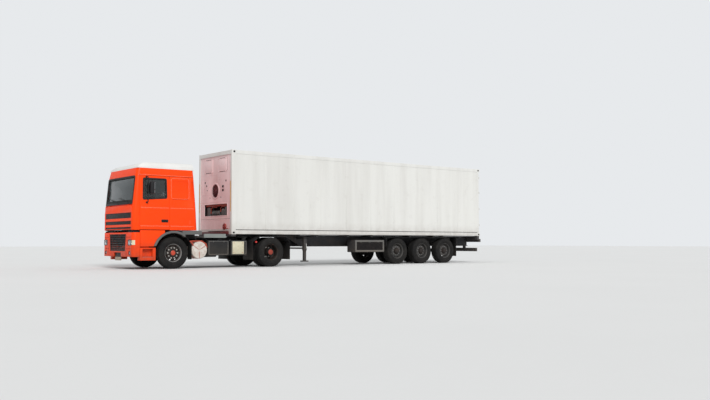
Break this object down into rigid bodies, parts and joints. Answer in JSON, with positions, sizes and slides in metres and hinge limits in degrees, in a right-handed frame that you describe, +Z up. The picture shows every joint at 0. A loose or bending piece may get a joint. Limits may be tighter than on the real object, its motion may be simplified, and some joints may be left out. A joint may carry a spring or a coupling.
{
  "type": "refrigerated truck",
  "caption": "Articulated refrigerated truck: tilt-cab tractor with a skeletal trailer carrying a refrigerated container.",
  "frame": {"origin": "on the ground under the middle of the vehicle's length and width", "axes": "+X towards the tail, +Y towards the vehicle's right side, +Z up"},
  "size_m": [15.75, 2.9, 4.026],
  "materials": {
    "cab_paint": "gloss",
    "roof_paint": "gloss",
    "dark_trim": "matte",
    "grey_trim": "matte",
    "chassis_paint": "satin",
    "engine": "rough",
    "tank": "satin",
    "silencer": "satin",
    "cover": "satin",
    "walkway": "rough",
    "lamp": "gloss",
    "tail_lamp": "gloss",
    "glass": "gloss",
    "seat_cloth": "matte",
    "tyre": "matte",
    "rim": "satin",
    "trailer_paint": "satin",
    "container_paint": "satin",
    "unit_paint": "satin"
  },
  "bodies": {
    "chassis": {"tractor_frame": "chassis_paint", "engine_gearbox": "engine", "front_axle": "chassis_paint", "drive_axle": "chassis_paint", "fuel_tank": "tank", "silencer": "silencer", "side_boxes": "dark_trim", "box_cover": "cover", "catwalk": "walkway", "fifth_wheel": "engine", "drive_mudguards": "dark_trim", "bumper": "cab_paint", "lower_grille": "dark_trim", "front_lamps": "lamp", "lower_steps": "cab_paint", "entry_panels": "cab_paint", "arch_trims": "grey_trim"},
    "cab": {"cab_shell": "cab_paint", "cab_roof": "roof_paint", "windscreen": "glass", "seats": "seat_cloth", "dashboard": "dark_trim"},
    "door_left": {"door_left": "cab_paint", "door_glass_left": "glass", "mirror_left": "dark_trim"},
    "door_right": {"door_right": "cab_paint", "door_glass_right": "glass", "mirror_right": "dark_trim"},
    "grille_flap": {"grille_flap": "cab_paint", "upper_grille": "dark_trim"},
    "knuckle_left": {"knuckle_left": "chassis_paint"},
    "knuckle_right": {"knuckle_right": "chassis_paint"},
    "tie_rod": {"tie_rod": "chassis_paint"},
    "front_wheel_left": {"front_tyre_left": "tyre", "front_rim_left": "rim"},
    "front_wheel_right": {"front_tyre_right": "tyre", "front_rim_right": "rim"},
    "drive_wheel_left": {"drive_tyres_left": "tyre", "drive_rims_left": "rim"},
    "drive_wheel_right": {"drive_tyres_right": "tyre", "drive_rims_right": "rim"},
    "trailer": {"trailer_frame": "trailer_paint", "trailer_axles": "trailer_paint", "landing_legs": "trailer_paint", "tool_box": "trailer_paint", "trailer_mudguards": "dark_trim", "underrun_guard": "trailer_paint", "tail_lamps": "tail_lamp", "container_shell": "container_paint", "refrigeration_unit": "unit_paint", "unit_machinery": "engine"},
    "container_door_left": {"container_door_left": "container_paint"},
    "container_door_right": {"container_door_right": "container_paint"},
    "trailer_wheel_left_1": {"trailer_wheel_left_1": "tyre"},
    "trailer_wheel_right_1": {"trailer_wheel_right_1": "tyre"},
    "trailer_wheel_left_2": {"trailer_wheel_left_2": "tyre"},
    "trailer_wheel_right_2": {"trailer_wheel_right_2": "tyre"},
    "trailer_wheel_left_3": {"trailer_wheel_left_3": "tyre"},
    "trailer_wheel_right_3": {"trailer_wheel_right_3": "tyre"}
  },
  "joints": [
    {"name": "cab_tilt", "type": "hinge", "parent": "chassis", "child": "cab", "pos_m": [-7.695, 0, 0.96], "axis": [0, -1, 0], "range_deg": [0, 60]},
    {"name": "door_left_hinge", "type": "hinge", "parent": "cab", "child": "door_left", "pos_m": [-7.65, -1.24, 1.6], "axis": [0, 0, -1], "range_deg": [0, 75]},
    {"name": "door_right_hinge", "type": "hinge", "parent": "cab", "child": "door_right", "pos_m": [-7.65, 1.24, 1.6], "axis": [0, 0, 1], "range_deg": [0, 75]},
    {"name": "grille_flap_hinge", "type": "hinge", "parent": "cab", "child": "grille_flap", "pos_m": [-7.863, 0, 2.042], "axis": [0, 1, 0], "range_deg": [0, 70]},
    {"name": "steer_left", "type": "hinge", "parent": "chassis", "child": "knuckle_left", "pos_m": [-6.485, -0.86, 0.515], "axis": [0, 0, 1], "range_deg": [-35, 35]},
    {"name": "steer_right", "type": "hinge", "parent": "chassis", "child": "knuckle_right", "pos_m": [-6.485, 0.86, 0.515], "axis": [0, 0, 1], "range_deg": [-35, 35]},
    {"name": "tie_rod_pivot", "type": "hinge", "parent": "knuckle_left", "child": "tie_rod", "pos_m": [-6.235, -0.86, 0.37], "axis": [0, 0, 1], "range_deg": [-35, 35]},
    {"name": "front_wheel_left_spin", "type": "hinge", "parent": "knuckle_left", "child": "front_wheel_left", "pos_m": [-6.485, -1.094, 0.515], "axis": [0, 1, 0], "continuous": true},
    {"name": "front_wheel_right_spin", "type": "hinge", "parent": "knuckle_right", "child": "front_wheel_right", "pos_m": [-6.485, 1.094, 0.515], "axis": [0, 1, 0], "continuous": true},
    {"name": "drive_wheel_left_spin", "type": "hinge", "parent": "chassis", "child": "drive_wheel_left", "pos_m": [-2.785, -0.9165, 0.515], "axis": [0, 1, 0], "continuous": true},
    {"name": "drive_wheel_right_spin", "type": "hinge", "parent": "chassis", "child": "drive_wheel_right", "pos_m": [-2.785, 0.9165, 0.515], "axis": [0, 1, 0], "continuous": true},
    {"name": "trailer_yaw", "type": "hinge", "parent": "chassis", "child": "trailer", "pos_m": [-3.385, 0, 1.06], "axis": [0, 0, 1], "range_deg": [-90, 90]},
    {"name": "container_door_left_hinge", "type": "hinge", "parent": "trailer", "child": "container_door_left", "pos_m": [7.797, -1.205, 2.6], "axis": [0, 0, -1], "range_deg": [0, 255]},
    {"name": "container_door_right_hinge", "type": "hinge", "parent": "trailer", "child": "container_door_right", "pos_m": [7.797, 1.205, 2.6], "axis": [0, 0, 1], "range_deg": [0, 255]},
    {"name": "trailer_wheel_left_1_spin", "type": "hinge", "parent": "trailer", "child": "trailer_wheel_left_1", "pos_m": [3.105, -1.04, 0.515], "axis": [0, 1, 0], "continuous": true},
    {"name": "trailer_wheel_right_1_spin", "type": "hinge", "parent": "trailer", "child": "trailer_wheel_right_1", "pos_m": [3.105, 1.04, 0.515], "axis": [0, 1, 0], "continuous": true},
    {"name": "trailer_wheel_left_2_spin", "type": "hinge", "parent": "trailer", "child": "trailer_wheel_left_2", "pos_m": [4.415, -1.04, 0.515], "axis": [0, 1, 0], "continuous": true},
    {"name": "trailer_wheel_right_2_spin", "type": "hinge", "parent": "trailer", "child": "trailer_wheel_right_2", "pos_m": [4.415, 1.04, 0.515], "axis": [0, 1, 0], "continuous": true},
    {"name": "trailer_wheel_left_3_spin", "type": "hinge", "parent": "trailer", "child": "trailer_wheel_left_3", "pos_m": [5.725, -1.04, 0.515], "axis": [0, 1, 0], "continuous": true},
    {"name": "trailer_wheel_right_3_spin", "type": "hinge", "parent": "trailer", "child": "trailer_wheel_right_3", "pos_m": [5.725, 1.04, 0.515], "axis": [0, 1, 0], "continuous": true}
  ],
  "couplings": [
    {"joint": "steer_right", "follows": "steer_left", "ratio": 1},
    {"joint": "tie_rod_pivot", "follows": "steer_left", "ratio": -1}
  ]
}
